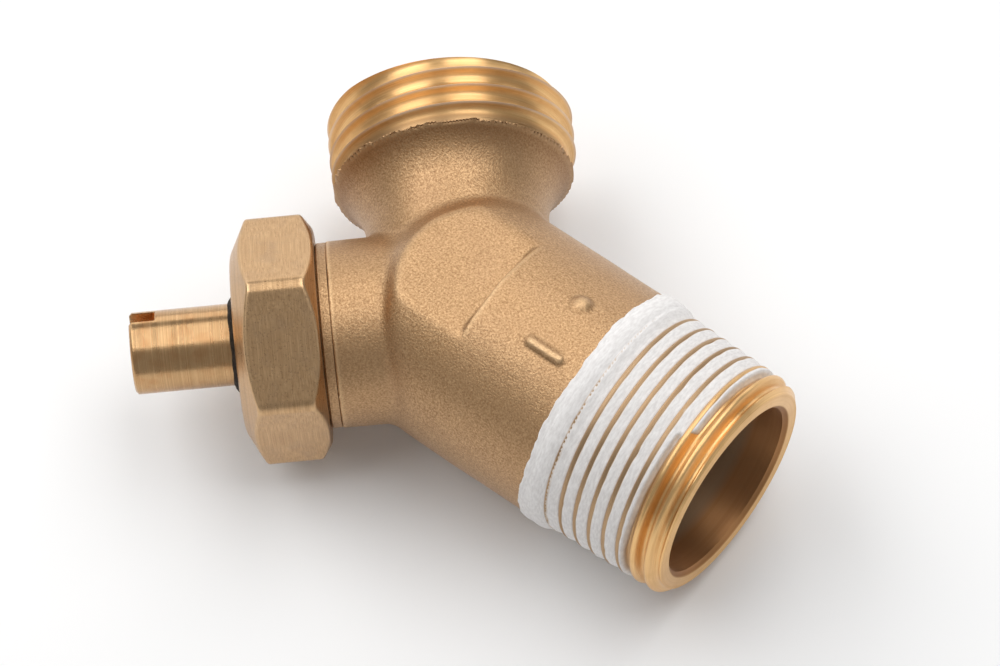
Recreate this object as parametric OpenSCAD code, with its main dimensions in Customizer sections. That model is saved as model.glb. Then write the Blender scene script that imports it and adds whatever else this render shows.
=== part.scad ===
// Brass drain valve with a taper pipe thread inlet, a hose thread outlet at its back and a
// slotted stem that lifts a soft seat washer off its seat.
// Millimetres. The valve lies on its side: +X points out of the inlet, +Z is square to the plane
// that holds the three axes, and the origin is the centre of the inlet's end face.
// Lengths below are measured outwards along each axis from the point where the axes cross.

/* [Layout] */
// Sub-part to draw, or all of them
// Angle between the inlet and the stem, degrees
stem_angle = 137.5; // [134:0.5:140]
// Length from the crossing to the inlet end
inlet_reach = 34.7; // [33:0.1:38]
// Length from the crossing to the outlet end
outlet_reach = 25.7; // [25:0.1:28]

/* [Forged body] */
// Radius of the ball where the three branches meet
ball_r = 13.6; // [13:0.1:13.65]
// Height of the flat wrench pads on the ball above the middle plane
pad_height = 11.7; // [11.2:0.1:12.6]
// Where the pads end and the round inlet tube begins
pad_end = 4.1; // [3:0.1:6]
// Outer radius of the inlet tube
tube_r = 13.7; // [13.7:0.05:14.5]
// Outer radius of the neck that carries the nut
neck_r = 10.06; // [9.9:0.02:10.8]
// Height of the two cast marks on the inlet tube
mark_height = 0.35; // [0.2:0.05:0.5]

/* [Inlet thread] */
// Crest radius of the taper thread at the inlet end
pipe_end_r = 13.02; // [12.9:0.02:13.1]
// Distance between turns
pipe_pitch = 1.814; // [1.75:0.002:1.82]
// Number of turns drawn as rings
pipe_turns = 9; // [7:1:9]
// Radius of the machined inlet bore
inlet_bore_r = 10.15; // [9.6:0.05:10.4]

/* [Outlet thread] */
// Crest radius of the hose thread
hose_r = 13.495; // [13.4:0.005:13.5]
// Distance between turns
hose_pitch = 2.209; // [2.1:0.001:2.3]
// Radius of the narrow part of the outlet branch behind the flare
flare_neck_r = 10; // [9.2:0.1:10.2]
// Radius of the outlet bore
outlet_bore_r = 9.4; // [8.8:0.1:9.6]

/* [Nut] */
// Width across the flats
nut_flats = 23.4; // [23:0.1:23.8]
// Radius that the hexagon's corners are cut back to
nut_corner_r = 13.15; // [12.9:0.05:13.25]
// Angle of one corner from the top, degrees
nut_turn = -3; // [-30:0.1:30]
// Start of the nut
nut_from = 15.7; // [15.65:0.05:15.8]
// Outer face of the nut
nut_to = 24.85; // [24.5:0.05:25.2]

/* [Stem] */
// Radius of the turned stem
stem_r = 4.415; // [4.3:0.005:4.44]
// Outer end of the stem with the valve closed
stem_to = 36.2; // [34:0.1:38]
// Width of the driver slot
slot_width = 2.0; // [1.2:0.1:2.2]
// Depth of the driver slot
slot_depth = 2.8; // [2.4:0.1:3.4]
// Angle of the slot about the stem from the top, degrees
slot_turn = 33; // [0:1:179]

/* [Seat] */
// Radius of the port that the washer shuts
port_r = 4.6; // [4.2:0.1:4.8]
// Radius of the soft seat washer
washer_r = 6.0; // [5.9:0.05:6.05]

/* [Hidden] */
$fn = 96;
small = 0.01;
past = 1;                                  // how far a cutting shape runs past a face
outlet_angle = 270 - stem_angle;           // the outlet is square to the stem
taper = 1 / 32;                            // growth of the pipe thread's radius per length

// thread forms, all with 30 degree flanks
pipe_crest = 0.3;
pipe_root = 0.3;
pipe_depth = (pipe_pitch - pipe_crest - pipe_root) / 2 / tan(30);
pipe_last = inlet_reach - 1.2;             // crest nearest the inlet end
pipe_first = pipe_last - (pipe_turns - 1) * pipe_pitch;
hose_crest = 0.45;
hose_root = 0.35;
hose_depth = (hose_pitch - hose_crest - hose_root) / 2 / tan(30);
hose_turns = 3;
hose_last = outlet_reach - 1.75;           // crest nearest the outlet end
hose_first = hose_last - (hose_turns - 1) * hose_pitch;
hose_root_r = hose_r - hose_depth;

// outlet flare: an arc from the narrow part out to the edge behind the thread
flare_from = 11.4;
flare_to = hose_first - hose_pitch + hose_crest / 2 + 0.2;
flare_rise = hose_r - flare_neck_r;
flare_fillet = (pow(flare_rise, 2) + pow(flare_to - flare_from, 2)) / (2 * flare_rise);
flare_steps = 14;
edge_land = 0.2;

// neck end that the nut screws on
neck_mark = 14.5;                          // edge of the machined band
neck_face = 15.6;                          // shoulder behind the nut
neck_band_r = neck_r - 0.1;
spigot_r = 9.2;
spigot_to = 19.6;

// passages
chamber_r = 7.3;
chamber_to = 7;
stem_thread_r = 7.6;                       // cut in the neck, wall radius
seat_face = -4.2;                          // top of the raised seat, below the outlet passage
seat_lip = 0.6;
seat_lip_r = 5.8;
port_to = -12.5;
passage_r = 4.2;
outlet_bore_to = 14.5;
inlet_bore_to = 19.5;
inlet_core_r = 8.6;
inlet_core_to = 10.4;
mouth_bevel = 0.45;

// nut
nut_sharp_r = nut_flats / 2 / cos(30);     // corners before they are cut back
nut_face_r = 9.4;                          // round face left inside the outer bevel
nut_bevel = 1.95;
nut_back_r = 11.5;                         // round face left inside the smaller bevel behind
nut_back_bevel = 1.2;
nut_bore_r = 9.25;
nut_bore_to = 20.9;
nut_pocket_r = 8.6;
nut_pocket_to = 22.7;
nut_hole_r = 5.6;

// packing
packing_bore_r = 4.46;
packing_r = 8.5;
packing_neck_r = 5.52;
packing_lip_r = 4.7;
packing_lip_from = nut_to + 0.35;
packing_lip_to = nut_to + 1;
washer_thick = 1.0;
washer_hole_r = 4.6;
washer_out_r = 8.5;

// stem
thread_gap = 0.05;
thread_from = 7.6;
thread_to = 14.6;
boss_r = 5.2;
boss_from = 1.8;
socket_r = 3.9;
socket_from = boss_from + 1;
socket_to = 5.4;
socket_mouth_r = 2.9;
stem_bevel = 0.3;

// swivelling disc
seat_gap = 0.05;
disc_bottom = seat_face + seat_gap;
washer_depth = 2.6;
cup_from = disc_bottom + 1.3;
cup_floor = disc_bottom + washer_depth;
cup_top = cup_floor + 1.45;
cup_r = 6.6;
shank_r = 2.6;
head_from = socket_from + 0.3;
head_to = socket_to - 0.3;
head_r = 3.6;
screw_r = 1.5;
screw_head_r = 3.2;
screw_head_depth = 1.3;
screw_to = 2.2;
screw_slot = 0.8;
screw_slot_depth = 0.6;

// sealant coat
sealant_from = 17.9;
sealant_to = 30.6;
sealant_proud = 0.08;

// Moves the crossing of the axes to its place behind the inlet end face.
module place() { translate([-inlet_reach, 0, 0]) children(); }

// Turns a shape drawn along +Z to lie along a branch at an angle in the middle plane.
module along(angle) { rotate([0, 0, angle]) rotate([0, 90, 0]) children(); }
module along_inlet() { place() along(0) children(); }
module along_outlet() { place() along(outlet_angle) children(); }
module along_stem() { place() along(-stem_angle) children(); }

// A solid turned about the branch from [radius, length] points.
module turned(points) { rotate_extrude() polygon(points); }

// A plain round bar between two lengths.
module bar(r, from, to) { translate([0, 0, from]) cylinder(r = r, h = to - from); }

// Crest, flank, root and flank of each turn, drawn as rings.
function rings(first, pitch, turns, crest, root, depth, end_r, end_t, slope) =
    [for (i = [0:turns - 1])
        let (t = first + i * pitch, r = end_r + (end_t - t) * slope)
            each [[r - depth, t - pitch / 2 + root / 2], [r, t - crest / 2], [r, t + crest / 2],
                  [r - depth, t + pitch / 2 - root / 2]]];

function pipe_rings(first, turns) =
    rings(first, pipe_pitch, turns, pipe_crest, pipe_root, pipe_depth, pipe_end_r, inlet_reach, taper);

// ---- forged body ----

// Half a ball run straight on into a short tube, with two flat pads cut square to +Z.
module ball_with_pads() {
    difference() {
        along_inlet() rotate_extrude() {
            intersection() {
                circle(r = ball_r);
                translate([0, -2 * ball_r]) square([2 * ball_r, 2 * ball_r + small]);
            }
            square([ball_r, pad_end]);
        }
        place() for (side = [0, 1]) mirror([0, 0, side])
            translate([-2 * ball_r, -2 * ball_r, pad_height]) cube([2 * ball_r + pad_end, 4 * ball_r, ball_r]);
    }
}

module inlet_tube() {
    runout = pipe_end_r + (inlet_reach - pipe_first) * taper - pipe_depth;
    outline = concat([[0, pad_end], [tube_r, pad_end], [tube_r, sealant_from - 0.4],
                      [runout, pipe_first - pipe_pitch / 2 - pipe_root / 2]],
                     pipe_rings(pipe_first, pipe_turns));
    nose_r = pipe_end_r + (inlet_reach - pipe_last) * taper;
    // the groove after the last crest is not cut: the end is bevelled instead
    kept = [for (i = [0:len(outline) - 2]) outline[i]];
    along_inlet() turned(concat(kept, [[nose_r - 1.05, inlet_reach], [0, inlet_reach]]));
}

module outlet_branch() {
    swell = [for (i = [0:flare_steps])
        let (u = (flare_to - flare_from) * i / flare_steps)
            [flare_neck_r + flare_fillet - sqrt(pow(flare_fillet, 2) - pow(u, 2)), flare_from + u]];
    turns = rings(hose_first, hose_pitch, hose_turns, hose_crest, hose_root, hose_depth, hose_r, 0, 0);
    nose = [[hose_root_r, outlet_reach - 0.4], [hose_root_r - 0.4, outlet_reach], [0, outlet_reach]];
    along_outlet() turned(concat([[0, 0], [flare_neck_r, 0]], swell,
                                 [[hose_r, flare_to + edge_land]], turns, nose));
}

module neck() {
    along_stem() turned([[0, 0], [neck_r, 0], [neck_r, neck_mark], [neck_band_r, neck_mark],
                         [neck_band_r, neck_face], [spigot_r, neck_face],
                         [spigot_r, spigot_to - 0.3], [spigot_r - 0.3, spigot_to], [0, spigot_to]]);
}

// One raised bar and one raised dot, cast on the inlet tube.
module cast_marks() {
    place() intersection() {
        along(0) bar(tube_r + mark_height, pad_end, sealant_from);
        union() {
            rotate([14, 0, 0]) translate([11.4, -0.55, 0]) cube([4.2, 1.1, 2 * tube_r]);
            rotate([-14, 0, 0]) translate([13.4, 0, 0]) cylinder(r = 1.1, h = 2 * tube_r);
        }
    }
}

module inlet_passage() {
    along_inlet() {
        turned([[0, inlet_core_to], [inlet_core_r, inlet_core_to],
                [inlet_core_r, inlet_bore_to - (inlet_bore_r - inlet_core_r)], [inlet_bore_r, inlet_bore_to],
                [inlet_bore_r, inlet_reach - mouth_bevel], [inlet_bore_r + mouth_bevel, inlet_reach],
                [inlet_bore_r + mouth_bevel, inlet_reach + past], [0, inlet_reach + past]]);
    }
}

module outlet_passage() {
    step = outlet_bore_r - passage_r;
    along_outlet() turned([[0, 0], [passage_r, 0], [passage_r, outlet_bore_to - step],
                           [outlet_bore_r, outlet_bore_to], [outlet_bore_r, outlet_reach + past],
                           [0, outlet_reach + past]]);
}

// Seat, chamber and the threaded hole for the stem, bored from the neck end.
module stem_passage() {
    along_stem() turned([[0, port_to - 1.5], [port_r, port_to], [port_r, seat_face],
                         [seat_lip_r, seat_face], [seat_lip_r, seat_face - seat_lip],
                         [chamber_r, seat_face - seat_lip], [chamber_r, chamber_to],
                         [stem_thread_r, chamber_to + 0.3], [stem_thread_r, spigot_to + past],
                         [0, spigot_to + past]]);
}

module valve_body() {
    color("goldenrod") difference() {
        union() {
            ball_with_pads();
            inlet_tube();
            outlet_branch();
            neck();
            cast_marks();
        }
        inlet_passage();
        outlet_passage();
        stem_passage();
    }
}

// ---- sealant coat that fills the grooves of the pipe thread and just covers the crests ----

module thread_sealant() {
    coat_start = pipe_end_r + (inlet_reach - sealant_from) * taper + sealant_proud;
    coat_end = pipe_end_r + (inlet_reach - sealant_to) * taper + sealant_proud;
    color("white") difference() {
        along_inlet() turned([[pipe_end_r - 2, sealant_from], [coat_start, sealant_from],
                              [coat_end, sealant_to], [pipe_end_r - 2, sealant_to]]);
        inlet_tube();
    }
}

// ---- hexagonal packing nut ----

module packing_nut() {
    color("gold") along_stem() difference() {
        intersection() {
            rotate([0, 0, nut_turn]) translate([0, 0, nut_from])
                cylinder(r = nut_sharp_r, h = nut_to - nut_from, $fn = 6);
            turned([[0, nut_from], [nut_back_r, nut_from], [nut_corner_r, nut_from + nut_back_bevel],
                    [nut_corner_r, nut_to - nut_bevel], [nut_face_r, nut_to], [0, nut_to]]);
        }
        bar(nut_bore_r, nut_from - past, nut_bore_to);
        bar(nut_pocket_r, nut_bore_to - small, nut_pocket_to);
        bar(nut_hole_r, nut_pocket_to - small, nut_to + past);
    }
}

// ---- packing squeezed round the stem, and the washer below it ----

module stem_packing() {
    base = spigot_to + washer_thick;
    color("dimgray") along_stem() turned([
        [packing_bore_r, base], [packing_r, base], [packing_r, nut_pocket_to], [packing_neck_r, nut_pocket_to],
        [packing_neck_r, packing_lip_from], [packing_lip_r, packing_lip_to], [packing_bore_r, packing_lip_to]]);
}

module packing_washer() {
    color("orange") along_stem() difference() {
        bar(washer_out_r, spigot_to, spigot_to + washer_thick);
        bar(washer_hole_r, spigot_to - past, spigot_to + washer_thick + past);
    }
}

// ---- stem: slotted end, plain shank, threaded collar and the crimped socket at its foot ----

module stem() {
    color("darkgoldenrod") along_stem() difference() {
        turned([[0, boss_from], [boss_r, boss_from], [boss_r, thread_from],
                [stem_thread_r - thread_gap - 0.5, thread_from], [stem_thread_r - thread_gap, thread_from + 0.5],
                [stem_thread_r - thread_gap, thread_to - 0.5], [stem_thread_r - thread_gap - 0.5, thread_to],
                [stem_r, thread_to], [stem_r, stem_to - stem_bevel], [stem_r - stem_bevel, stem_to],
                [0, stem_to]]);
        bar(socket_mouth_r, boss_from - past, socket_from + small);
        bar(socket_r, socket_from, socket_to);
        rotate([0, 0, slot_turn]) translate([-2 * stem_r, -slot_width / 2, stem_to - slot_depth])
            cube([4 * stem_r, slot_width, slot_depth + past]);
    }
}

// ---- swivelling disc: holder, soft washer and the screw that keeps it in ----

module disc_holder() {
    color("khaki") along_stem() difference() {
        turned([[0, cup_floor], [washer_r, cup_floor], [washer_r, cup_from], [cup_r, cup_from],
                [cup_r, cup_top], [shank_r, cup_top], [shank_r, head_from], [head_r, head_from],
                [head_r, head_to], [0, head_to]]);
        bar(screw_r, cup_floor - past, screw_to);
    }
}

module seat_washer() {
    color("black") along_stem() difference() {
        bar(washer_r, disc_bottom, cup_floor);
        bar(screw_r, disc_bottom - past, cup_floor + past);
    }
}

module washer_screw() {
    color("peru") along_stem() difference() {
        union() {
            bar(screw_head_r, disc_bottom - screw_head_depth, disc_bottom);
            bar(screw_r, disc_bottom - small, screw_to - 0.2);
        }
        translate([-screw_head_r, -screw_slot / 2, disc_bottom - screw_head_depth - past])
            cube([2 * screw_head_r, screw_slot, screw_slot_depth + past]);
    }
}

valve_body();
thread_sealant();
packing_nut();
stem_packing();
packing_washer();
stem();
disc_holder();
seat_washer();
washer_screw();
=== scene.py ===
"""Looks of a brass drain valve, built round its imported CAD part.

The forging, the nut and the stem are made from signed distances, so that their edges and
fillets are rounded as on the real castings and machined parts. The two screw threads are true
helices. Pieces that stay out of sight keep their CAD shape and get a material.
Shapes are worked out in millimetres from the point where the three axes cross, then moved to
the frame, whose origin is the centre of the inlet's end face.
"""

import math

import bpy
import numpy as np
from mathutils import Matrix, Vector


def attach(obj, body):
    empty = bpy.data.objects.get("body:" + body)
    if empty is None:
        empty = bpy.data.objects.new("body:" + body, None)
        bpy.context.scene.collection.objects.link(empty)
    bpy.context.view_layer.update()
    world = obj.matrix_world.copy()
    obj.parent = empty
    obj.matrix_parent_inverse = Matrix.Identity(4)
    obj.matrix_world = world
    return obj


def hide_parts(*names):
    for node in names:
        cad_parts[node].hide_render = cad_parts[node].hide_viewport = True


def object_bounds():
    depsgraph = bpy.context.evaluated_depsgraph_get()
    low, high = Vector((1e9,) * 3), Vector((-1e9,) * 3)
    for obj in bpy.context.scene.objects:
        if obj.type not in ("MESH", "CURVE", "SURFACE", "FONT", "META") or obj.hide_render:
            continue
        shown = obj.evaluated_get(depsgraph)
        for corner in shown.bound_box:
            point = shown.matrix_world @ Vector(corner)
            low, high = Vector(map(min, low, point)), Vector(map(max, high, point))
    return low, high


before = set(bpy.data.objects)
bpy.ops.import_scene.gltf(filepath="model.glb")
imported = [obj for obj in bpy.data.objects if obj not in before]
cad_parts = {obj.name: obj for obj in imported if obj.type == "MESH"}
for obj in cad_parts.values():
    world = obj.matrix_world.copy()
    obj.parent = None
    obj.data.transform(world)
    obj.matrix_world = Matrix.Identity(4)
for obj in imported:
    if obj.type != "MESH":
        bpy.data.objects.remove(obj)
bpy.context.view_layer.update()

MM = 0.001
TAU = 2 * math.pi
WELDS_PER_MM = 2e4  # vertices closer than one part of this many become one

# ---- layout, as in the CAD part ----

INLET_REACH = 34.7
STEM_ANGLE = math.radians(137.5)
OUTLET_ANGLE = math.radians(132.5)
UP = np.array([0.0, 0.0, 1.0])
INLET = np.array([1.0, 0.0, 0.0])
STEM = np.array([math.cos(STEM_ANGLE), -math.sin(STEM_ANGLE), 0.0])
OUTLET = np.array([math.cos(OUTLET_ANGLE), math.sin(OUTLET_ANGLE), 0.0])

# forging
TUBE_R = 13.7
END_CENTRE = 2.8  # the rounded closed end of the middle is part of an ellipsoid about Z
END_R = 13.7
END_HEIGHT = 16.1
PAD_HEIGHT = 12.0
PAD_END = 4.8
NECK_R = 10.06
NECK_MARK = 14.5
NECK_FACE = 15.6
SPIGOT_R = 9.2
SPIGOT_TO = 19.6
FLARE_NECK_R = 10.0
FLARE_FROM = 11.4
FLARE_TO = 17.6
FLARE_RIM_R = 13.35
FLARE_SHIFT = -0.2  # the forging sits a little to one side of the thread cut on it
# where the forging darkens towards the flare's rim: its patina there, and painted shade
RIM_DARKENING_FROM, RIM_DARKENING_OVER = 14.4, 3.4
INLET_CUT = 18.8  # where the forging gives way to the threaded end, under the sealant
FORGING_LOW = (-22.6, -18.2, -14.3)
FORGING_HIGH = (INLET_CUT + 0.2, 22.8, 14.3)
CAST_UNEVEN = 0.035
RIM_UNEVEN = 0.03
END_EDGE = 0.6
PAD_EDGE = 0.5
NECK_EDGE = 0.25
RIM_EDGE = 0.12
TUBE_FILLET = 0.8
FLARE_FILLET = 0.9
MARK_FILLET = 0.3
MARK_HALF_WIDTH = 0.52
BAR_FROM, BAR_TO = 11.7, 15.4
BAR_TURN = math.radians(15)
DOT_AT = 13.4
DOT_TURN = math.radians(-13)
DOT_R = 1.3

# passages
CHAMBER_R = 7.3
CHAMBER_TO = 7.0
STEM_BORE_R = 7.6
SEAT_FACE = -4.2
SEAT_LIP = 0.6
SEAT_LIP_R = 5.8
PORT_R = 4.6
PORT_TO = -12.5
PASSAGE_R = 4.2
OUTLET_BORE_R = 9.4
OUTLET_BORE_TO = 14.5
OUTLET_REACH = 25.7
INLET_BORE_R = 10.15
INLET_BORE_TO = 19.5
INLET_CORE_R = 8.6
INLET_CORE_TO = 10.4
INLET_MOUTH_BEVEL = 0.45
OUTLET_MOUTH_BEVEL = 0.3

# threads, with flanks at 30 degrees
FLANK = math.radians(30)
THREAD_FLAT = 0.3  # width of crests and roots of the pipe thread and the stem's thread
THREAD_EASE = 0.05  # how far the corners are rounded, as a worn tool leaves them
PIPE_END_R = 13.02
PIPE_PITCH = 1.814
PIPE_TAPER = 1 / 32
PIPE_CREST_AT = 20.38  # place of a crest where the thread faces the camera side
PIPE_CREST_TURN = math.radians(23)
PIPE_FADE = 0.9
NOSE_DROP = 1.0
NOSE_SLOPE = 1.15
HOSE_R = 13.45
HOSE_PITCH = 2.209
HOSE_CREST_AT = 19.5
HOSE_DEPTH = 1.0
HOSE_CREST = 0.06  # share of the pitch
HOSE_ROUND = 3.4  # how square the roots are; 2 is a plain arc
HOSE_LEAD = 1.1  # slope of the run-in beside the flare
HOSE_LEAD_FROM = FLARE_TO + 0.5
HOSE_BEVEL = 0.1

# nut
NUT_FLATS = 23.4
NUT_CORNER_R = 13.24
NUT_TURN = math.radians(-3)
NUT_FROM = 15.7
NUT_TO = 24.85
NUT_FACE_R = 9.4
NUT_BEVEL = 1.95
NUT_BACK_R = 11.5
NUT_BACK_BEVEL = 1.2
NUT_EDGE = 0.25
NUT_CORNER_EDGE = 0.2
NUT_BORE_R = 9.25
NUT_BORE_TO = 20.9
NUT_POCKET_R = 8.6
NUT_POCKET_TO = 22.7
NUT_HOLE_R = 5.6
NUT_HOLE_TO = 24.5
NUT_MOUTH_R = 6.1
NUT_MOUTH_AT = 25.4
NUT_REACH = 14.6  # from its centre, past its corners

# stem
STEM_R = 4.415
STEM_FROM = 1.8
STEM_TO = 36.2
COLLAR_R = 7.55
COLLAR_FROM = 7.6
COLLAR_TO = 14.6
BOSS_R = 5.2
SLOT_WIDTH = 2.0
SLOT_DEPTH = 2.8
SLOT_TURN = math.radians(33)
SLOT_EDGE = 0.06
STEM_LEAD = 1.5
STEM_ROOM = 0.4  # round the stem in the box it is meshed in
COLLAR_BEVEL = 0.5
STEM_BEVEL = 0.28
SOCKET_MOUTH_R = 2.9
SOCKET_LIP = 2.8
SOCKET_R = 3.9
SOCKET_TO = 5.4

# packing
PACKING_BORE_R = 4.46
PACKING_FROM = 20.6
PACKING_R = 8.5
LIP_R = 5.52
PACKING_LIP = [(LIP_R, 24.6), (5.4, 24.95), (5.1, 25.2), (4.82, 25.4), (4.62, 25.5),
               (PACKING_BORE_R, 25.42)]

# sealant
PASTE_FROM = 17.5
PASTE_TO = 30.6
PASTE_BASE = 17.0  # where the rows of its mesh are counted from
PASTE_INSIDE_R = 11.4
PASTE_BELOW_CREST = 0.045
PASTE_SAG = 0.28
PASTE_UNEVEN = 0.03
PASTE_EXTRA = 0.47  # how much thicker the paste is where it starts
PASTE_THINS_TO = 21.4
PASTE_THINS_OVER = 2.2
PASTE_CLEAR = 0.06  # how far paste and crests are kept apart, so that they never nearly coincide
PASTE_FILL = 2.0  # deeper than any groove
TONGUE = 1.35  # how much further the last turn of paste reaches on one side
TONGUE_END, TONGUE_ROUND = math.radians(15), math.radians(9)
TONGUE_FADE_END, TONGUE_FADE = math.radians(-140), math.radians(30)


# ---- distances: points come as an (n, 3) array, and each gets one distance ----


def axial(p, axis):
    """Length along a branch and distance from it."""
    t = p @ axis
    return t, np.linalg.norm(p - t[:, None] * axis, axis=1)


def blend_union(a, b, k):
    """Union with a fillet of about k."""
    h = np.clip(0.5 + 0.5 * (b - a) / k, 0, 1)
    return b + (a - b) * h - k * h * (1 - h)


def blend_cut(a, b, k):
    """Intersection with a rounded edge of about k."""
    return -blend_union(-a, -b, k)


def outline_distance(r, t, points):
    """Signed distance to a closed outline in the radius-length plane, turned about the axis."""
    best = np.full(r.shape, np.inf)
    inside = np.zeros(r.shape, bool)
    for (r0, t0), (r1, t1) in zip(points, points[1:] + points[:1]):
        er, et = r1 - r0, t1 - t0
        length = er * er + et * et
        if length == 0:
            continue
        u = np.clip(((r - r0) * er + (t - t0) * et) / length, 0, 1)
        best = np.minimum(best, (r - r0 - u * er) ** 2 + (t - t0 - u * et) ** 2)
        if et != 0:
            crosses = (t0 > t) != (t1 > t)
            inside ^= crosses & (r < r0 + (t - t0) * er / et)
    return np.where(inside, -1, 1) * np.sqrt(best)


def smoothstep(u):
    u = np.clip(u, 0, 1)
    return u * u * (3 - 2 * u)


def flare_radius(t):
    """Radius of the flare behind the hose thread: an arc out to its rim."""
    rise, run = FLARE_RIM_R - FLARE_NECK_R, FLARE_TO - FLARE_FROM
    fillet = (rise**2 + run**2) / (2 * rise)
    u = np.clip(t - FLARE_FROM, 0, run)
    return FLARE_NECK_R + fillet - np.sqrt(fillet**2 - u * u)


def lumps(p, size, seed):
    """Gentle unevenness between -1 and 1, made of a few waves in fixed random directions."""
    waves = np.random.default_rng(seed)
    total = np.zeros(len(p))
    for _ in range(9):
        way = waves.normal(size=3)
        way /= np.linalg.norm(way)
        total += np.sin(p @ way * TAU / (size * waves.uniform(0.7, 1.5)) + waves.uniform(0, TAU))
    return total / 4.5


# ---- meshes ----


def surface_net(distance, low, high, step):
    """Vertices and quads of the surface where distance is 0, in the box from low to high."""
    counts = [int(math.ceil((high[i] - low[i]) / step)) + 1 for i in range(3)]
    axes = [low[i] + step * np.arange(counts[i]) for i in range(3)]
    grid = np.stack(np.meshgrid(*axes, indexing="ij"), -1).reshape(-1, 3)
    f = np.concatenate([distance(part) for part in np.array_split(grid, 24)]).reshape(counts)
    del grid
    cells = [n - 1 for n in counts]
    place = np.zeros(cells + [3], np.float32)
    hits = np.zeros(cells, np.float32)
    index = np.indices(counts, dtype=np.float32)
    for axis in range(3):
        lo = [slice(None)] * 3
        hi = [slice(None)] * 3
        lo[axis], hi[axis] = slice(None, -1), slice(1, None)
        f0, f1 = f[tuple(lo)], f[tuple(hi)]
        change = (f0 < 0) != (f1 < 0)
        share = np.where(change, f0 / np.where(change, f0 - f1, 1), 0)
        others = [a for a in range(3) if a != axis]
        for da in (0, 1):
            for db in (0, 1):
                part = [slice(None)] * 3
                part[others[0]] = slice(da, da + cells[others[0]])
                part[others[1]] = slice(db, db + cells[others[1]])
                part = tuple(part)
                hit = change[part]
                hits += hit
                for c in range(3):
                    where = index[c][tuple(lo)][part] + (share[part] if c == axis else 0)
                    place[..., c] += np.where(hit, where, 0)
    mixed = hits > 0
    number = np.full(cells, -1, np.int64)
    number[mixed] = np.arange(mixed.sum())
    # half way to the middle of its cell, which keeps the quads well shaped
    centres = np.argwhere(mixed) + 0.5
    vertices = np.array(low) + step * (place[mixed] / hits[mixed][:, None] + centres) / 2
    quads = []
    for axis in range(3):
        b, c = (axis + 1) % 3, (axis + 2) % 3
        lo = [slice(None)] * 3
        hi = [slice(None)] * 3
        lo[axis], hi[axis] = slice(None, -1), slice(1, None)
        for other in (b, c):
            lo[other] = hi[other] = slice(1, -1)
        inside0, inside1 = f[tuple(lo)] < 0, f[tuple(hi)] < 0
        corners = []
        for db, dc in ((0, 0), (1, 0), (1, 1), (0, 1)):
            part = [slice(None)] * 3
            part[b] = slice(db, db + cells[b] - 1)
            part[c] = slice(dc, dc + cells[c] - 1)
            corners.append(number[tuple(part)])
        corners = np.stack(corners, -1)
        quads.append(corners[inside0 & ~inside1])
        quads.append(corners[~inside0 & inside1][:, ::-1])
    return settle(vertices, distance, step), np.concatenate(quads)


def settle(vertices, distance, step):
    """Moves the vertices onto the surface along its slope."""
    e = step * 0.2
    for _ in range(3):
        d = distance(vertices)
        slope = np.stack(
            [distance(vertices + e * axis) - distance(vertices - e * axis) for axis in np.eye(3)], -1
        ) / (2 * e)
        size = np.maximum((slope**2).sum(1), 0.25)
        vertices = vertices - np.clip(d / size, -step / 2, step / 2)[:, None] * slope
    return vertices


def even_out(vertices, quads, distance, step):
    """Spreads the vertices evenly over the surface, so that no quad is folded or needle thin."""
    shares = 2 * np.bincount(quads.ravel(), minlength=len(vertices))
    for _ in range(4):
        mean = np.zeros_like(vertices)
        for axis in range(3):
            value = vertices[:, axis][quads]
            beside = np.roll(value, 1, axis=1) + np.roll(value, -1, axis=1)
            mean[:, axis] = np.bincount(quads.ravel(), beside.ravel(), len(vertices)) / shares
        vertices = settle((vertices + mean) / 2, distance, step)
    return vertices


def weld(vertices, faces):
    """Joins vertices that share a place and drops the faces that shrink to nothing."""
    keys = np.round(vertices * WELDS_PER_MM).astype(np.int64)
    _, first, same = np.unique(keys, axis=0, return_index=True, return_inverse=True)
    same = same.reshape(-1)
    kept = []
    for face in same[faces]:
        corners = [int(v) for i, v in enumerate(face) if v != face[i - 1]]
        if len(corners) > 2 and len(set(corners)) == len(corners):
            kept.append(corners)
    return vertices[first], kept


def make_piece(name, vertices, faces, material, body, node, sharp=40):
    """A piece that stands for a CAD node. Vertices are in millimetres from the crossing."""
    mesh = bpy.data.meshes.new(name)
    places = (np.asarray(vertices) - [INLET_REACH, 0, 0]) * MM
    mesh.from_pydata(places.tolist(), [], [list(map(int, f)) for f in faces])
    mesh.validate()
    mesh.shade_smooth()
    if sharp:
        mesh.set_sharp_from_angle(angle=math.radians(sharp))
    mesh.materials.append(material)
    piece = bpy.data.objects.new(name, mesh)
    bpy.context.scene.collection.objects.link(piece)
    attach(piece, body)
    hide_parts(node)
    return piece


def branch_axes(axis):
    """Two directions square to a branch: up, and the one a right-hand quarter turn from up."""
    return UP, np.cross(axis, UP)


def on_branch(axis, r, turn, t):
    """Points at radius r, at an angle from up about the branch, at length t."""
    up, side = branch_axes(axis)
    r, turn, t = np.broadcast_arrays(r, turn, t)
    return (
        t[..., None] * axis
        + (r * np.cos(turn))[..., None] * up
        + (r * np.sin(turn))[..., None] * side
    )


def ring_faces(rows, columns):
    """Quads of a sheet of rows by columns that closes on itself along the columns."""
    i = np.arange(columns)
    j = np.arange(rows - 1)[:, None]
    nxt = (i + 1) % columns
    return np.stack(
        [j * columns + i, j * columns + nxt, (j + 1) * columns + nxt, (j + 1) * columns + i], -1
    ).reshape(-1, 4)


def lathe(axis, points, columns=192, wobble=None):
    """A closed body turned from [radius, length] points, listed so that the outside faces out."""
    turn = TAU * np.arange(columns) / columns
    points = points + points[:1]
    r = np.array([p[0] for p in points])[:, None] + np.zeros(columns)
    t = np.array([p[1] for p in points])[:, None] + np.zeros(columns)
    if wobble:
        r, t = wobble(r, turn[None, :], t)
    vertices = on_branch(axis, r, turn[None, :], t).reshape(-1, 3)
    return weld(vertices, ring_faces(len(points), columns))


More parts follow.
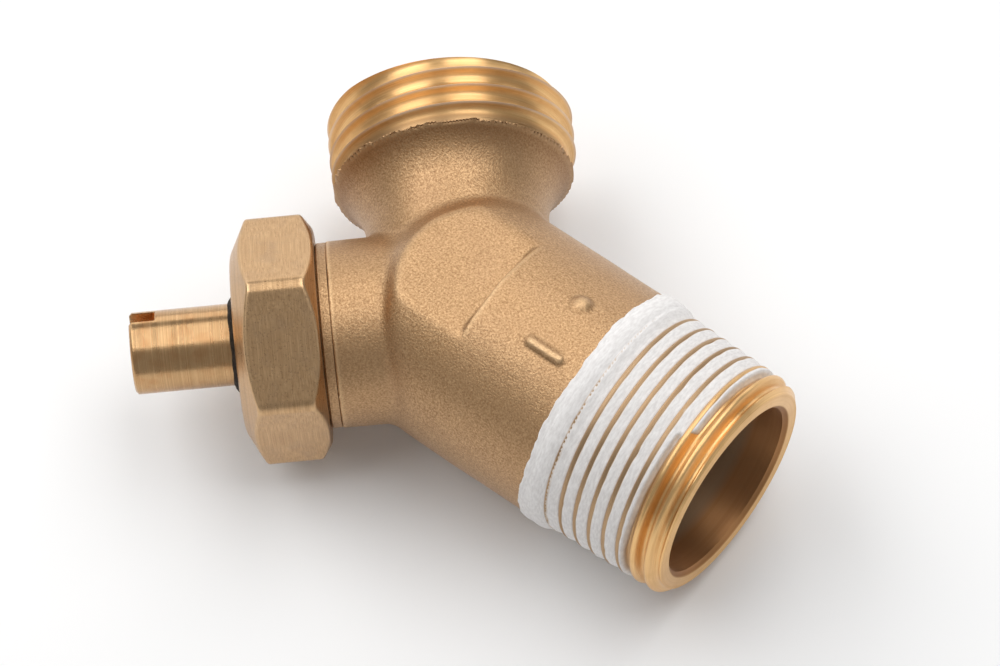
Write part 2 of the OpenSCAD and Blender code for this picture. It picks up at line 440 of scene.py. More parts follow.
def threaded_piece(
        axis, radius, start, end, pitch, phase, after, columns=288, per_pitch=20, base=None):
    """A closed threaded tube: the helical outside, then the outline that leads back to its start.

    radius gives the outside's radius at an angle and a length. The outside's mesh rows follow the
    helix, counted from base, or from the start. The start and the end are one length, or one for
    each column. after lists [radius, length] points from the end, round the bore, to the start.
    """
    n = columns + 1
    start, end = np.broadcast_to(start, n), np.broadcast_to(end, n)
    base = start[0] if base is None else base
    rows = np.sort((np.arange(per_pitch) / per_pitch + phase) % 1.0)
    turns = int(math.ceil((end.max() - base) / pitch)) + 2
    shares = np.concatenate([rows + k for k in range(-1, turns)])[:, None]
    turn = TAU * np.arange(n) / columns
    t = np.clip(base + pitch * (shares + turn / TAU), start, end)
    angle = turn + 0 * t
    outside = on_branch(axis, radius(angle, t), angle, t).reshape(-1, 3)
    i, j = np.arange(columns), np.arange(len(shares) - 1)[:, None]
    sheet = np.stack([j * n + i, j * n + i + 1, (j + 1) * n + i + 1, (j + 1) * n + i], -1)
    turn, start, end = turn[:-1], start[:-1], end[:-1]
    rings = [on_branch(axis, radius(turn, end), turn, end)]
    rings += [on_branch(axis, r, turn, at) for r, at in after]
    rings.append(on_branch(axis, radius(turn, start), turn, start))
    inside = ring_faces(len(rings), columns) + len(outside)
    return weld(np.concatenate([outside, *rings]), np.concatenate([sheet.reshape(-1, 4), inside]))


# ---- thread forms ----


def thread_depth(turn, t, pitch, crest_at):
    """Depth below the crest of a right-hand thread, at an angle and a length."""
    off = (t - crest_at - pitch * turn / TAU) / pitch
    off = np.abs(off - np.round(off)) * pitch
    run = (pitch - 2 * THREAD_FLAT) / 2
    u = np.clip((off - THREAD_FLAT / 2) / run, 0, 1)
    return run / math.tan(FLANK) * (u - THREAD_EASE * np.sin(TAU * u))


def pipe_crest(t):
    """Radius over the crests of the taper thread, which runs out into the tube."""
    return np.minimum(PIPE_END_R + (INLET_REACH - t) * PIPE_TAPER, TUBE_R)


def pipe_phase(base):
    """Share of a pitch from base to the next crest, at the angle the turns are counted from."""
    return ((PIPE_CREST_AT - base) / PIPE_PITCH - PIPE_CREST_TURN / TAU) % 1


def pipe_radius(turn, t):
    """Outside of the inlet's threaded end: tube, taper thread, then the bevelled nose."""
    at = PIPE_CREST_AT - PIPE_PITCH * PIPE_CREST_TURN / TAU
    depth = thread_depth(turn, t, PIPE_PITCH, at) * smoothstep((t - INLET_CUT) / PIPE_FADE)
    nose = PIPE_END_R - NOSE_DROP + (INLET_REACH - t) * NOSE_SLOPE
    return np.minimum(pipe_crest(t) - depth, nose)


def hose_radius(turn, t):
    """Outside of the outlet's threaded end: thin crests, round roots, fading in at the rim."""
    past = (t - HOSE_CREST_AT - HOSE_PITCH * turn / TAU) / HOSE_PITCH % 1
    beside = np.maximum(0.5 - np.abs(past - 0.5) - HOSE_CREST / 2, 0) / (0.5 - HOSE_CREST / 2)
    root = HOSE_R - HOSE_DEPTH
    r = HOSE_R + 0.04 - HOSE_DEPTH * (1 - (1 - beside) ** HOSE_ROUND)
    lead = root + np.maximum(t - HOSE_LEAD_FROM, 0) * HOSE_LEAD
    mouth = HOSE_R - HOSE_BEVEL + OUTLET_REACH - t
    return np.maximum(np.minimum(np.minimum(r, lead), mouth), root)


# ---- forging ----


def stem_passage_outline():
    return [
        (0, PORT_TO - 1.5), (PORT_R, PORT_TO), (PORT_R, SEAT_FACE), (SEAT_LIP_R, SEAT_FACE),
        (SEAT_LIP_R, SEAT_FACE - SEAT_LIP), (CHAMBER_R, SEAT_FACE - SEAT_LIP),
        (CHAMBER_R, CHAMBER_TO), (STEM_BORE_R, CHAMBER_TO + 0.3), (STEM_BORE_R, 30), (0, 30),
    ]


def outlet_passage_outline():
    step = OUTLET_BORE_R - PASSAGE_R
    return [
        (0, 0), (PASSAGE_R, 0), (PASSAGE_R, OUTLET_BORE_TO - step), (OUTLET_BORE_R, OUTLET_BORE_TO),
        (OUTLET_BORE_R, 40), (0, 40),
    ]


def inlet_passage_outline():
    step = INLET_BORE_R - INLET_CORE_R
    return [
        (0, INLET_CORE_TO), (INLET_CORE_R, INLET_CORE_TO), (INLET_CORE_R, INLET_BORE_TO - step),
        (INLET_BORE_R, INLET_BORE_TO), (INLET_BORE_R, 60), (0, 60),
    ]


def cast_marks(p):
    """A raised bar and a raised dot on the inlet tube."""

    def spot(turn, t, r):
        return on_branch(INLET, np.array(r), np.array(turn), np.array(t)).reshape(3)

    a, b = (spot(BAR_TURN, t, TUBE_R - 0.12) for t in (BAR_FROM, BAR_TO))
    line = b - a
    u = np.clip((p - a) @ line / (line @ line), 0, 1)
    bar = np.linalg.norm(p - a - u[:, None] * line, axis=1) - MARK_HALF_WIDTH
    dot = np.linalg.norm(p - spot(DOT_TURN, DOT_AT, TUBE_R - 0.75), axis=1) - DOT_R
    return np.minimum(bar, dot)


def forging_distance(p):
    """The forged body without its machined ends, hollow."""
    t_in, r_in = axial(p, INLET)
    tube = np.maximum(r_in - TUBE_R, t_in - INLET_CUT - 0.3)
    behind = np.minimum(p[:, 0] - END_CENTRE, 0)
    end = END_R * (np.sqrt((behind**2 + p[:, 1] ** 2) / END_R**2 + (p[:, 2] / END_HEIGHT) ** 2) - 1)
    core = blend_cut(tube, end, END_EDGE)
    pad_box = np.maximum(PAD_HEIGHT - np.abs(p[:, 2]), t_in - PAD_END)
    core = blend_cut(core, -pad_box, PAD_EDGE)
    t_s, r_s = axial(p, STEM)
    neck = np.maximum(blend_cut(r_s - NECK_R, t_s - NECK_MARK, NECK_EDGE), -t_s)
    t_o, r_o = axial(p, OUTLET)
    side = branch_axes(OUTLET)[1]
    _, r_flare = axial(p - side * FLARE_SHIFT, OUTLET)
    rim = t_o - FLARE_TO - RIM_UNEVEN * lumps(p, 2.2, 11)
    flare = np.maximum(blend_cut((r_flare - flare_radius(t_o)) * 0.6, rim, RIM_EDGE), -t_o)
    body = blend_union(core, neck, TUBE_FILLET)
    body = blend_union(body, flare, FLARE_FILLET)
    body = blend_union(body, cast_marks(p), MARK_FILLET)
    body = body + CAST_UNEVEN * lumps(p, 7.0, 3)
    hollow = np.minimum(
        outline_distance(r_s, t_s, stem_passage_outline()),
        np.minimum(
            outline_distance(r_o, t_o, outlet_passage_outline()),
            outline_distance(r_in, t_in, inlet_passage_outline()),
        ),
    )
    return np.maximum(body, -hollow)


# ---- nut and stem, in their own axes: first along the branch, then up, then sideways ----


def stem_local(p):
    up, side = branch_axes(STEM)
    return p @ STEM, p @ up, p @ side


def bevel(r, t, r0, t0, r1, t1):
    """Distance above the cone through two points, outwards positive."""
    nr, nt = t0 - t1, r1 - r0
    return ((r - r0) * nr + (t - t0) * nt) / math.hypot(nr, nt)


def nut_distance(p):
    t, a, b = stem_local(p)
    r = np.hypot(a, b)
    flats = np.full(len(p), -np.inf)
    corners = np.full(len(p), -np.inf)
    for k in range(6):
        face = NUT_TURN + math.radians(30 + 60 * k)
        point = NUT_TURN + math.radians(60 * k)
        flats = np.maximum(flats, a * math.cos(face) + b * math.sin(face) - NUT_FLATS / 2)
        corners = np.maximum(corners, a * math.cos(point) + b * math.sin(point) - NUT_CORNER_R)
    solid = blend_cut(flats, corners, NUT_CORNER_EDGE)
    front = bevel(r, t, NUT_FACE_R, NUT_TO, NUT_CORNER_R, NUT_TO - NUT_BEVEL)
    back = bevel(r, -t, NUT_BACK_R, -NUT_FROM, NUT_CORNER_R, -NUT_FROM - NUT_BACK_BEVEL)
    for side in (front, back, np.maximum(t - NUT_TO, NUT_FROM - t)):
        solid = blend_cut(solid, side, NUT_EDGE)
    inside = outline_distance(r, t, [
        (0, 10), (NUT_BORE_R, 10), (NUT_BORE_R, NUT_BORE_TO), (NUT_POCKET_R, NUT_BORE_TO),
        (NUT_POCKET_R, NUT_POCKET_TO), (NUT_HOLE_R, NUT_POCKET_TO), (NUT_HOLE_R, NUT_HOLE_TO),
        (NUT_MOUTH_R, NUT_MOUTH_AT), (NUT_MOUTH_R, 30), (0, 30)])
    return np.maximum(solid, -inside)


def across_slot(a, b):
    """Distance from the middle of the screwdriver slot."""
    return np.abs(a * math.sin(SLOT_TURN) - b * math.cos(SLOT_TURN))


def stem_distance(p):
    t, a, b = stem_local(p)
    r = np.hypot(a, b)
    body = outline_distance(r, t, [
        (0, STEM_FROM), (BOSS_R, STEM_FROM), (BOSS_R, COLLAR_FROM),
        (COLLAR_R - COLLAR_BEVEL, COLLAR_FROM), (COLLAR_R, COLLAR_FROM + COLLAR_BEVEL),
        (COLLAR_R, COLLAR_TO - COLLAR_BEVEL), (COLLAR_R - COLLAR_BEVEL, COLLAR_TO),
        (STEM_R, COLLAR_TO), (STEM_R, STEM_TO - STEM_BEVEL), (STEM_R - STEM_BEVEL, STEM_TO),
        (0, STEM_TO)])
    # thread on the collar, cut inwards from its crests
    cut = thread_depth(np.arctan2(b, a), t, STEM_LEAD, COLLAR_FROM)
    collar = (t > COLLAR_FROM - 0.2) & (t < COLLAR_TO + 0.2)
    body = np.where(collar, np.maximum(body, (r - COLLAR_R + cut) * 0.7), body)
    socket = outline_distance(r, t, [
        (0, 0), (SOCKET_MOUTH_R, 0), (SOCKET_MOUTH_R, SOCKET_LIP), (SOCKET_R, SOCKET_LIP),
        (SOCKET_R, SOCKET_TO), (0, SOCKET_TO)])
    slot = np.maximum(across_slot(a, b) - SLOT_WIDTH / 2, STEM_TO - SLOT_DEPTH - t)
    return blend_cut(np.maximum(body, -socket), -slot, SLOT_EDGE)


def curvature(vertices, distance, reach):
    """How convex the surface is at each vertex: above 0 on edges, below 0 in valleys."""
    total = np.zeros(len(vertices))
    for way in np.concatenate([np.eye(3), -np.eye(3)]):
        total += distance(vertices + reach * way)
    return np.clip(total / (2 * reach), -1, 1)


def paint(piece, name, values):
    """Stores one number at each vertex for the piece's material to read."""
    layer = piece.data.attributes.new(name, "FLOAT", "POINT")
    layer.data.foreach_set("value", np.asarray(values, np.float32))


# ---- materials ----

FORGED_DARK = (0.33, 0.185, 0.083)
FORGED_LIGHT = (0.59, 0.375, 0.195)
FORGED_DULL = (0.46, 0.28, 0.15)
FORGED_WORN = (0.76, 0.52, 0.29)
VALLEY_PAINTED_SHADE = (0.16, 0.085, 0.034)
FLARE_PATINA_AND_SHADE = (0.24, 0.11, 0.036)
CUT_DARK = (0.74, 0.45, 0.19)
CUT_LIGHT = (0.88, 0.58, 0.275)
BORE_BROWN = (0.42, 0.20, 0.085)
PASTED_BRASS = (0.50, 0.35, 0.22)
CREST_SCUFF_AND_SHEEN = (0.84, 0.65, 0.48)
DULLED_BRASS = (0.50, 0.32, 0.165)
TURNED_DARK = (0.44, 0.26, 0.12)
TURNED_LIGHT = (0.65, 0.42, 0.22)
TURNED_STAIN = (0.46, 0.235, 0.10)
SLOT_PAINTED_LIGHT = (0.90, 0.54, 0.26)
NUT_DARK = (0.45, 0.275, 0.14)
NUT_LIGHT = (0.64, 0.42, 0.228)
NUT_BLOTCH = (0.42, 0.28, 0.17)
NUT_WORN = (0.74, 0.51, 0.29)
WASHER_DARK = (0.6, 0.4, 0.2)
WASHER_LIGHT = (0.78, 0.55, 0.30)
SCREW_DARK = (0.5, 0.3, 0.14)
SCREW_LIGHT = (0.70, 0.46, 0.24)
PASTE_DARK = (0.69, 0.665, 0.65)
PASTE_LIGHT = (0.83, 0.81, 0.795)
PASTE_THIN = (0.50, 0.36, 0.235)
PACKING_DARK = (0.014, 0.010, 0.007)
PACKING_LIGHT = (0.045, 0.033, 0.024)
RUBBER_DARK = (0.02, 0.02, 0.02)
RUBBER_LIGHT = (0.05, 0.05, 0.05)
FLOOR_DARK = (0.86, 0.86, 0.86)
FLOOR_LIGHT = (0.88, 0.88, 0.88)


class Look:
    """A material under construction; node() adds one node and returns its first output."""

    def __init__(self, name, metallic=1.0, rough=0.5):
        self.material = bpy.data.materials.new(name)
        self.material.use_nodes = True
        self.tree = self.material.node_tree
        self.surface = self.tree.nodes["Principled BSDF"]
        self.surface.inputs["Roughness"].default_value = rough
        self.surface.inputs["Metallic"].default_value = metallic
        coord = self.tree.nodes.new("ShaderNodeTexCoord").outputs["Object"]
        self.place = self.node("VectorMath", {0: coord, "Scale": 1 / MM}, operation="SCALE")

    def node(self, kind, inputs, output=0, **settings):
        made = self.tree.nodes.new("ShaderNode" + kind)
        for key, value in settings.items():
            setattr(made, key, value)
        for key, value in inputs.items():
            if isinstance(value, bpy.types.NodeSocket):
                self.tree.links.new(value, made.inputs[key])
            else:
                made.inputs[key].default_value = value
        return made.outputs[output]

    def noise(self, scale, detail=2.0, place=None, rough=0.5):
        return self.node(
            "TexNoise",
            {"Vector": place or self.place, "Scale": scale, "Detail": detail, "Roughness": rough},
        )

    def maths(self, operation, *values):
        return self.node("Math", dict(enumerate(values)), operation=operation)

    def spread(self, value, low, high, to_low=0.0, to_high=1.0):
        """Stretches a value from one range to another, and holds it inside."""
        return self.node(
            "MapRange",
            {"Value": value, "From Min": low, "From Max": high, "To Min": to_low, "To Max": to_high},
        )

    def mix(self, share, a, b):
        """Mixes two colours, each three numbers or a socket, by the value of a socket."""
        made = self.tree.nodes.new("ShaderNodeMix")
        made.data_type = "RGBA"
        self.tree.links.new(share, made.inputs[0])
        for socket, colour in ((6, a), (7, b)):
            if isinstance(colour, bpy.types.NodeSocket):
                self.tree.links.new(colour, made.inputs[socket])
            else:
                made.inputs[socket].default_value = (*colour, 1)
        return made.outputs[2]

    def painted(self, name):
        return self.node("Attribute", {}, output="Fac", attribute_name=name)

    def bump(self, height, depth, strength, under=None):
        """A bump of a real depth in millimetres; under is a bump below it."""
        inputs = {"Height": height, "Distance": depth * MM, "Strength": strength}
        if under is not None:
            inputs["Normal"] = under
        return self.node("Bump", inputs)

    def along(self, axis):
        """Length along an axis, distance from it in millimetres, and the way out from it."""
        local = self.node("VectorMath", {0: self.place, 1: (INLET_REACH, 0, 0)}, operation="ADD")
        length = self.node("VectorMath", {0: local, 1: tuple(axis)}, output="Value",
                           operation="DOT_PRODUCT")
        foot = self.node("VectorMath", {0: tuple(axis), "Scale": length}, operation="SCALE")
        off = self.node("VectorMath", {0: local, 1: foot}, operation="SUBTRACT")
        radius = self.node("VectorMath", {0: off}, output="Value", operation="LENGTH")
        return length, radius, self.node("VectorMath", {0: off}, operation="NORMALIZE")

    def stretch_gloss(self, axis, outward, amount):
        """Spreads highlights across the turning marks, along the axis and on end faces outwards."""
        share = self.node("VectorMath", {0: outward, "Scale": 0.5}, operation="SCALE")
        way = self.node("VectorMath", {0: share, 1: tuple(axis)}, operation="ADD")
        self.surface.inputs["Anisotropic"].default_value = amount
        self.tree.links.new(way, self.surface.inputs["Tangent"])

    def connect(self, colour=None, rough=None, normal=None):
        for name, socket in (("Base Color", colour), ("Roughness", rough), ("Normal", normal)):
            if socket is not None:
                self.tree.links.new(socket, self.surface.inputs[name])
        return self.material


def forged_look():
    """Blasted forging: fine grain, small pits, duller patches, bright worn edges, painted shade in
    the valleys, and a flare darker towards its rim from patina and painted shade.
    """
    look = Look("forged brass")
    look.surface.inputs["Coat Weight"].default_value = 0.25
    look.surface.inputs["Coat Roughness"].default_value = 0.4
    grain = look.noise(4.6, 3.0, rough=0.65)
    pits = look.node("TexVoronoi", {"Vector": look.place, "Scale": 3.4}, output="Distance")
    patch = look.noise(0.11, 3.0)
    worn = look.spread(look.painted("curve"), 0.08, 0.5)
    # painted shade: valleys and fillets are darkened by how concave they are
    valley_shade = look.spread(look.painted("curve"), -0.06, -0.5)
    colour = look.mix(look.spread(grain, 0.34, 0.68), FORGED_DARK, FORGED_LIGHT)
    colour = look.mix(look.spread(patch, 0.4, 0.7, 0.0, 0.35), colour, FORGED_DULL)
    colour = look.mix(look.maths("MULTIPLY", worn, 0.6), colour, FORGED_WORN)
    colour = look.mix(look.maths("MULTIPLY", valley_shade, 0.8), colour, VALLEY_PAINTED_SHADE)
    # darker towards the flare's rim: patina, with painted shade
    colour = look.mix(look.maths("MULTIPLY", look.painted("rim_patina_and_shade"), 0.55), colour, FLARE_PATINA_AND_SHADE)
    rough = look.spread(grain, 0.3, 0.7, 0.55, 0.38)
    base = look.bump(look.noise(0.9, 2.0), 0.05, 0.6)
    pitted = look.bump(look.spread(pits, 0.0, 0.5), 0.02, 0.5, under=base)
    return look.connect(colour, rough, look.bump(grain, 0.065, 0.9, under=pitted))


def turned_look(name, axis, light, dark, rough, ring=0.012, fine=9.0, stain=None, zones=()):
    """Metal cut on a lathe: fine rings round an axis, streaks and slight stains.

    Each zone is (measure, from, to, colour, roughness added): between two lengths or two radii
    the metal changes to another colour and gets rougher.
    """
    look = Look(name)
    length, radius, outward = look.along(axis)
    look.stretch_gloss(axis, outward, 0.8)
    rings = look.node("CombineXYZ", {"X": length, "Y": radius})
    score = look.noise(fine, 3.0, place=rings, rough=0.7)
    band = look.noise(1.1, 2.0, place=rings)
    patch = look.noise(0.45, 4.0, rough=0.6)
    colour = look.mix(look.spread(score, 0.35, 0.7), dark, light)
    colour = look.mix(look.spread(patch, 0.46, 0.66, 0.0, 0.65), colour, stain or dark)
    # painted light: inside the screwdriver slot the metal is made lighter
    colour = look.mix(look.maths("MULTIPLY", look.painted("painted_slot_light"), 0.8), colour, SLOT_PAINTED_LIGHT)
    gloss = look.spread(band, 0.3, 0.7, rough * 0.8, rough * 1.4)
    for measure, low, high, tint, rougher in zones:
        share = look.spread({"length": length, "radius": radius}[measure], low, high, 0.0, 0.85)
        colour = look.mix(share, colour, tint)
        gloss = look.maths("ADD", gloss, look.maths("MULTIPLY", share, rougher))
    marks = look.bump(score, ring, 0.7)
    return look.connect(colour, gloss, look.bump(look.noise(2.5, 2.0), 0.012, 0.4, under=marks))


def nut_look():
    """Milled flats with fine lines across them, turned faces, edges rubbed bright."""
    look = Look("milled brass")
    length, radius, _ = look.along(STEM)
    rings = look.node("CombineXYZ", {"X": length, "Y": look.maths("MULTIPLY", radius, 0.35)})
    score = look.noise(7.0, 3.0, place=rings, rough=0.7)
    blotch = look.noise(0.5, 3.0)
    scratch = look.noise(5.0, 2.0)
    worn = look.spread(look.painted("curve"), 0.12, 0.55)
    colour = look.mix(look.spread(score, 0.35, 0.7), NUT_DARK, NUT_LIGHT)
    colour = look.mix(look.spread(blotch, 0.5, 0.75, 0.0, 0.4), colour, NUT_BLOTCH)
    colour = look.mix(look.maths("MULTIPLY", worn, 0.5), colour, NUT_WORN)
    gloss = look.spread(scratch, 0.3, 0.7, 0.26, 0.4)
    marks = look.bump(score, 0.02, 0.7)
    return look.connect(colour, gloss, look.bump(scratch, 0.012, 0.5, under=marks))


def sealant_look():
    """White thread sealant: matt paste, faintly streaked along the thread."""
    look = Look("thread sealant", metallic=0.0, rough=0.55)
    length, _, _ = look.along(INLET)
    streak = look.node("CombineXYZ", {"X": look.maths("MULTIPLY", length, 2.5), "Y": 0.0})
    mixed = look.node("VectorMath", {0: streak, 1: look.place}, operation="ADD")
    cloud = look.noise(1.3, 3.0, place=mixed)
    colour = look.mix(look.spread(cloud, 0.35, 0.7), PASTE_DARK, PASTE_LIGHT)
    colour = look.mix(look.spread(look.painted("film"), 0.22, 0.02), colour, PASTE_THIN)
    return look.connect(colour, None, look.bump(look.noise(4.0, 3.0), 0.04, 0.5))


def rubber_look(name, dark, light, scale):
    """Dark packing or rubber with a slightly uneven, fibrous face."""
    look = Look(name, metallic=0.0)
    look.surface.inputs["Specular IOR Level"].default_value = 0.2
    speck = look.noise(scale, 4.0, rough=0.7)
    colour = look.mix(look.spread(speck, 0.4, 0.75), dark, light)
    rough = look.spread(speck, 0.3, 0.7, 0.9, 0.6)
    return look.connect(colour, rough, look.bump(speck, 0.06, 0.8))


# ---- pieces ----


def add_forging(look):
    step = 0.25

    def cut(p):
        """Stops the forging at the threaded end."""
        return blend_cut(forging_distance(p), p[:, 0] - INLET_CUT, END_EDGE)

    vertices, faces = surface_net(cut, FORGING_LOW, FORGING_HIGH, step)
    piece = make_piece("forging", vertices, faces, look, "valve", "valve_body", 50)
    # how convex each place is: bright worn edges, and painted shade in the valleys
    paint(piece, "curve", curvature(vertices, forging_distance, 0.5))
    t, r = axial(vertices, OUTLET)
    # painted shade and patina, darker towards the flare's rim
    paint(piece, "rim_patina_and_shade", smoothstep((t - RIM_DARKENING_FROM) / RIM_DARKENING_OVER) * (r > FLARE_NECK_R))


def add_neck_end(look):
    """The machined spigot that the nut is screwed on, mostly inside the nut."""
    outline = [(STEM_BORE_R, NECK_MARK), (NECK_R - 0.1, NECK_MARK), (NECK_R - 0.1, NECK_FACE - 0.15),
               (NECK_R - 0.25, NECK_FACE), (SPIGOT_R, NECK_FACE), (SPIGOT_R, SPIGOT_TO),
               (STEM_BORE_R, SPIGOT_TO)]
    vertices, faces = lathe(STEM, outline)
    make_piece("neck_end", vertices, faces, look, "valve", "valve_body")


def add_inlet_thread(look):
    after = [(PIPE_END_R - 1.35, INLET_REACH), (INLET_BORE_R + INLET_MOUTH_BEVEL, INLET_REACH),
             (INLET_BORE_R, INLET_REACH - INLET_MOUTH_BEVEL), (INLET_BORE_R, INLET_BORE_TO),
             (INLET_CORE_R + 0.85, INLET_CUT), (TUBE_R - 0.6, INLET_CUT)]
    vertices, faces = threaded_piece(
        INLET, pipe_radius, INLET_CUT, INLET_REACH, PIPE_PITCH, pipe_phase(INLET_CUT), after)
    make_piece("inlet_thread", vertices, faces, look, "valve", "valve_body", 35)


def add_outlet_thread(look):
    start = FLARE_TO - 0.1
    phase = ((HOSE_CREST_AT - start) / HOSE_PITCH) % 1
    after = [(OUTLET_BORE_R + OUTLET_MOUTH_BEVEL, OUTLET_REACH),
             (OUTLET_BORE_R, OUTLET_REACH - OUTLET_MOUTH_BEVEL), (OUTLET_BORE_R, start),
             (HOSE_R - HOSE_DEPTH - 0.05, start)]
    vertices, faces = threaded_piece(
        OUTLET, hose_radius, start, OUTLET_REACH, HOSE_PITCH, phase, after)
    make_piece("outlet_thread", vertices, faces, look, "valve", "valve_body", 35)


def add_nut(look):
    step = 0.16
    centre = STEM * (NUT_FROM + NUT_TO) / 2
    vertices, faces = surface_net(nut_distance, centre - NUT_REACH, centre + NUT_REACH, step)
    vertices = even_out(vertices, faces, nut_distance, step)
    piece = make_piece("nut", vertices, faces, look, "valve", "packing_nut", 50)
    paint(piece, "curve", curvature(vertices, nut_distance, 0.35))


def add_stem(look):
    """Meshed square to its own axis, then turned into place."""
    step = 0.15
    up, side = branch_axes(STEM)
    turn = np.stack([STEM, up, side])

    def local(q):
        return stem_distance(q @ turn)

    low = (STEM_FROM - STEM_ROOM, -COLLAR_R - STEM_ROOM, -COLLAR_R - STEM_ROOM)
    high = (STEM_TO + STEM_ROOM, COLLAR_R + STEM_ROOM, COLLAR_R + STEM_ROOM)
    vertices, faces = surface_net(local, low, high, step)
    piece = make_piece(
        "stem_turned", vertices @ turn, faces, look, "turning_stem", "stem", 50)
    t, a, b = vertices.T
    # painted light: marks the inside of the screwdriver slot, to be made lighter
    in_slot = (across_slot(a, b) < SLOT_WIDTH / 2 + 0.05) & (np.hypot(a, b) < STEM_R - 0.15)
    paint(piece, "painted_slot_light", in_slot & (t > COLLAR_TO) & (t < STEM_TO - 0.15))


def add_packing(look):
    """Packing ring round the stem, squeezed up through the nut's hole."""
    outline = [(PACKING_BORE_R, PACKING_FROM), (PACKING_R, PACKING_FROM),
               (PACKING_R, NUT_POCKET_TO), (LIP_R, NUT_POCKET_TO), *PACKING_LIP]

    def wobble(r, turn, t):
        swell = (t > 24) * (0.05 * np.sin(3 * turn + 0.6) + 0.03 * np.sin(11 * turn + t))
        return r + np.where(r > 4.5, swell, 0), t + swell

    vertices, faces = lathe(STEM, outline, 160, wobble)
    make_piece("packing", vertices, faces, look, "valve", "stem_packing", 0)


def add_sealant(look):
    """Paste in the grooves of the pipe thread: thick at its start, then with bare crests."""
    columns = 360
    turn = TAU * np.arange(columns + 1) / columns
    bend = (turn + math.pi) % TAU - math.pi  # -180 to 180 degrees from up
    tongue = smoothstep((TONGUE_END - bend) / TONGUE_ROUND)
    tongue = tongue * smoothstep((bend - TONGUE_FADE_END) / TONGUE_FADE)
    waver = 0.12 * np.sin(2 * turn + 1) + 0.07 * np.sin(7 * turn) + 0.03 * np.sin(19 * turn + 2)
    end = PASTE_TO + TONGUE * tongue + waver * 0.6
    start = PASTE_FROM + 1.5 * waver + 0.05 * np.sin(31 * turn) + 0.03 * np.sin(67 * turn)

    def coat(angle, t):
        column = np.round(angle / TAU * columns).astype(int) % columns
        edge = np.minimum((t - start[column]) * 1.3, end[column] - t)
        crest = pipe_crest(t)
        uneven = lumps(on_branch(INLET, crest, angle, t).reshape(-1, 3), 2.6, 5).reshape(t.shape)
        # the paste lies full against the outer side of each crest and sags towards the next one
        past = (t - PIPE_CREST_AT - PIPE_PITCH * (angle - PIPE_CREST_TURN) / TAU) / PIPE_PITCH % 1
        thick = smoothstep((PASTE_THINS_TO - t) / PASTE_THINS_OVER)
        sag = PASTE_SAG * smoothstep(past * 1.15) * (1 - 0.75 * thick)
        level = crest - PASTE_BELOW_CREST - sag + PASTE_UNEVEN * uneven + PASTE_EXTRA * thick
        metal = np.where(t < INLET_CUT, TUBE_R, pipe_radius(angle, t))
        gap = level - metal
        gap = gap + PASTE_CLEAR * np.tanh(gap / 0.015)
        return metal + np.minimum(gap, PASTE_FILL * smoothstep(edge) - PASTE_CLEAR)

    inside = [(PASTE_INSIDE_R, end[:-1]), (PASTE_INSIDE_R, start[:-1])]
    vertices, faces = threaded_piece(
        INLET, coat, start, end, PIPE_PITCH, pipe_phase(PASTE_BASE), inside, columns, 16, PASTE_BASE)
    piece = make_piece(
        "sealant_coat", vertices, faces, look, "valve", "thread_sealant", 0)
    up, side = branch_axes(INLET)
    t, r = axial(vertices, INLET)
    angle = np.arctan2(vertices @ side, vertices @ up)
    paint(piece, "film", r - np.where(t < INLET_CUT, TUBE_R - 0.4, pipe_radius(angle, t)))


# ---- floor, light, camera ----

LIGHT_REACH = 0.6  # metres, as are the lights' sizes and the camera's place
SOFTBOX_SIZE = (0.36, 0.7)
SOFTBOX_POWER = 2.0
BACKDROP_SIZE = (1.5, 0.26)
BACKDROP_POWER = 1.5
WORLD_STRENGTH = 0.36
FLOOR_HALF = 1.2
CAMERA_PLACE = (0.13951, -0.19053, 0.45555)
CAMERA_RIGHT = (0.7919, 0.6093, -0.0406)
CAMERA_UP = (-0.5160, 0.7033, 0.4889)
CAMERA_BACK = (0.3264, -0.3662, 0.8714)
CAMERA_LENS = 175.39  # for a sensor 36 mm wide


def add_floor():
    mesh = bpy.data.meshes.new("floor")
    half, z = FLOOR_HALF, float(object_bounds()[0][2]) - 0.0002
    corners = [(-half, -half, z), (half, -half, z), (half, half, z), (-half, half, z)]
    mesh.from_pydata(corners, [], [(0, 1, 2, 3)])
    floor = bpy.data.objects.new("floor", mesh)
    bpy.context.scene.collection.objects.link(floor)
    look = Look("floor", metallic=0.0, rough=0.9)
    mesh.materials.append(look.connect(look.mix(look.noise(0.02), FLOOR_DARK, FLOOR_LIGHT)))


def add_light(name, right, back, size, power):
    """A rectangular soft light, tilted from overhead to the right and to the back, in degrees."""
    light = bpy.data.lights.new(name, "AREA")
    light.shape = "RECTANGLE"
    light.size, light.size_y = size
    light.energy = power
    lamp = bpy.data.objects.new(name, light)
    bpy.context.scene.collection.objects.link(lamp)
    across = Vector(-STEM)
    way = Vector((0, 0, 1)) + across * math.tan(math.radians(right))
    way = (way + Vector(OUTLET) * math.tan(math.radians(back))).normalized()
    across = (across - way * way.dot(across)).normalized()
    turn = Matrix((across, way.cross(across), way)).transposed()
    crossing = Vector((-INLET_REACH * MM, 0, 0))
    lamp.matrix_world = Matrix.Translation(way * LIGHT_REACH + crossing) @ turn.to_4x4()


def add_world(strength):
    world = bpy.data.worlds.new("studio")
    world.use_nodes = True
    background = world.node_tree.nodes["Background"]
    background.inputs["Color"].default_value = (1, 1, 1, 1)
    background.inputs["Strength"].default_value = strength
    bpy.context.scene.world = world


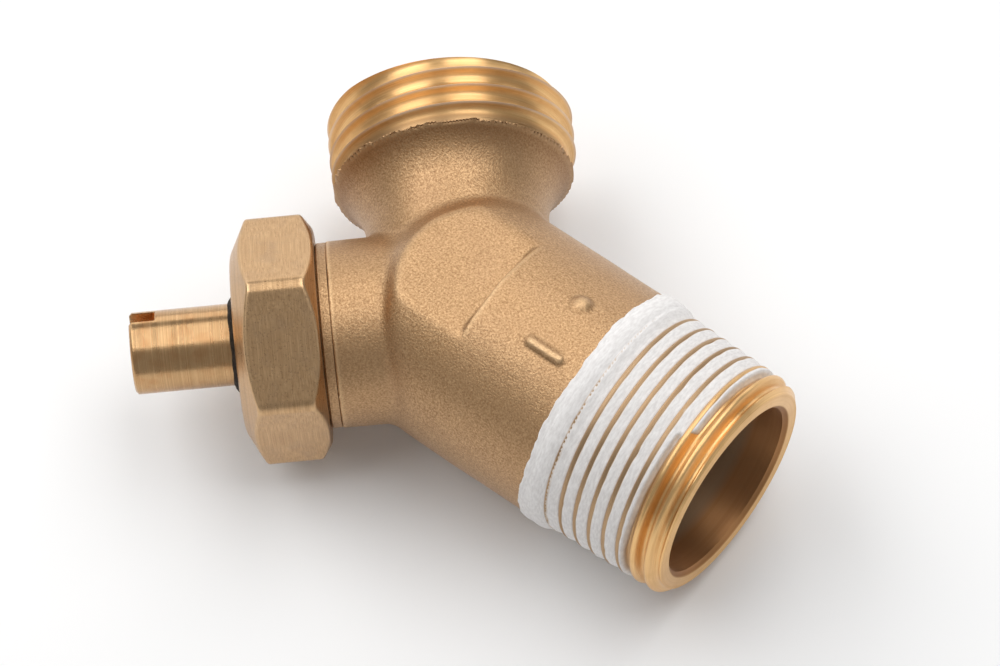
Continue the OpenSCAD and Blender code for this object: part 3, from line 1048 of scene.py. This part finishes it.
def add_camera():
    data = bpy.data.cameras.new("camera")
    data.sensor_fit = "HORIZONTAL"
    data.sensor_width = 36
    data.lens = CAMERA_LENS
    data.clip_start, data.clip_end = 0.01, 10
    camera = bpy.data.objects.new("camera", data)
    bpy.context.scene.collection.objects.link(camera)
    turn = Matrix((CAMERA_RIGHT, CAMERA_UP, CAMERA_BACK)).transposed()
    camera.matrix_world = Matrix.Translation(CAMERA_PLACE) @ turn.to_4x4()
    bpy.context.scene.camera = camera


def dress(node, material):
    """Gives a material to a CAD node that stays."""
    for slot in bpy.data.objects[node].material_slots:
        slot.material = material


def main():
    thread = dict(light=CUT_LIGHT, dark=CUT_DARK, rough=0.36)
    forged = forged_look()
    add_forging(forged)
    add_neck_end(forged)
    add_inlet_thread(turned_look("cut brass inlet", INLET, **thread, zones=[
        ("radius", 10.7, 10.5, BORE_BROWN, 0.2), ("length", 31.2, 30.2, PASTED_BRASS, 0.25)]))
    # the crests of the hose thread are made pale: scuffing, with a painted highlight
    add_outlet_thread(turned_look("cut brass outlet", OUTLET, **thread, zones=[
        ("radius", 9.9, 9.7, BORE_BROWN, 0.2), ("radius", 13.2, 13.42, CREST_SCUFF_AND_SHEEN, 0.2),
        ("length", 19.0, 18.4, DULLED_BRASS, 0.2)]))
    turned = turned_look(
        "turned brass", STEM, TURNED_LIGHT, TURNED_DARK, 0.24, 0.014, 13.0, TURNED_STAIN)
    add_nut(nut_look())
    add_stem(turned)
    add_packing(rubber_look("packing", PACKING_DARK, PACKING_LIGHT, 3.0))
    add_sealant(sealant_look())
    dress("packing_washer", turned_look("washer brass", STEM, WASHER_LIGHT, WASHER_DARK, 0.25))
    dress("disc_holder", turned)
    dress("washer_screw", turned_look("screw brass", STEM, SCREW_LIGHT, SCREW_DARK, 0.3))
    dress("seat_washer", rubber_look("seat rubber", RUBBER_DARK, RUBBER_LIGHT, 1.5))
    add_floor()
    add_light("left softbox", -32, 14, SOFTBOX_SIZE, SOFTBOX_POWER)
    add_light("right softbox", 19, 14, SOFTBOX_SIZE, SOFTBOX_POWER)
    add_light("backdrop", 0, 74, BACKDROP_SIZE, BACKDROP_POWER)
    add_world(WORLD_STRENGTH)
    add_camera()
    bpy.context.scene.view_settings.view_transform = "Standard"


main()
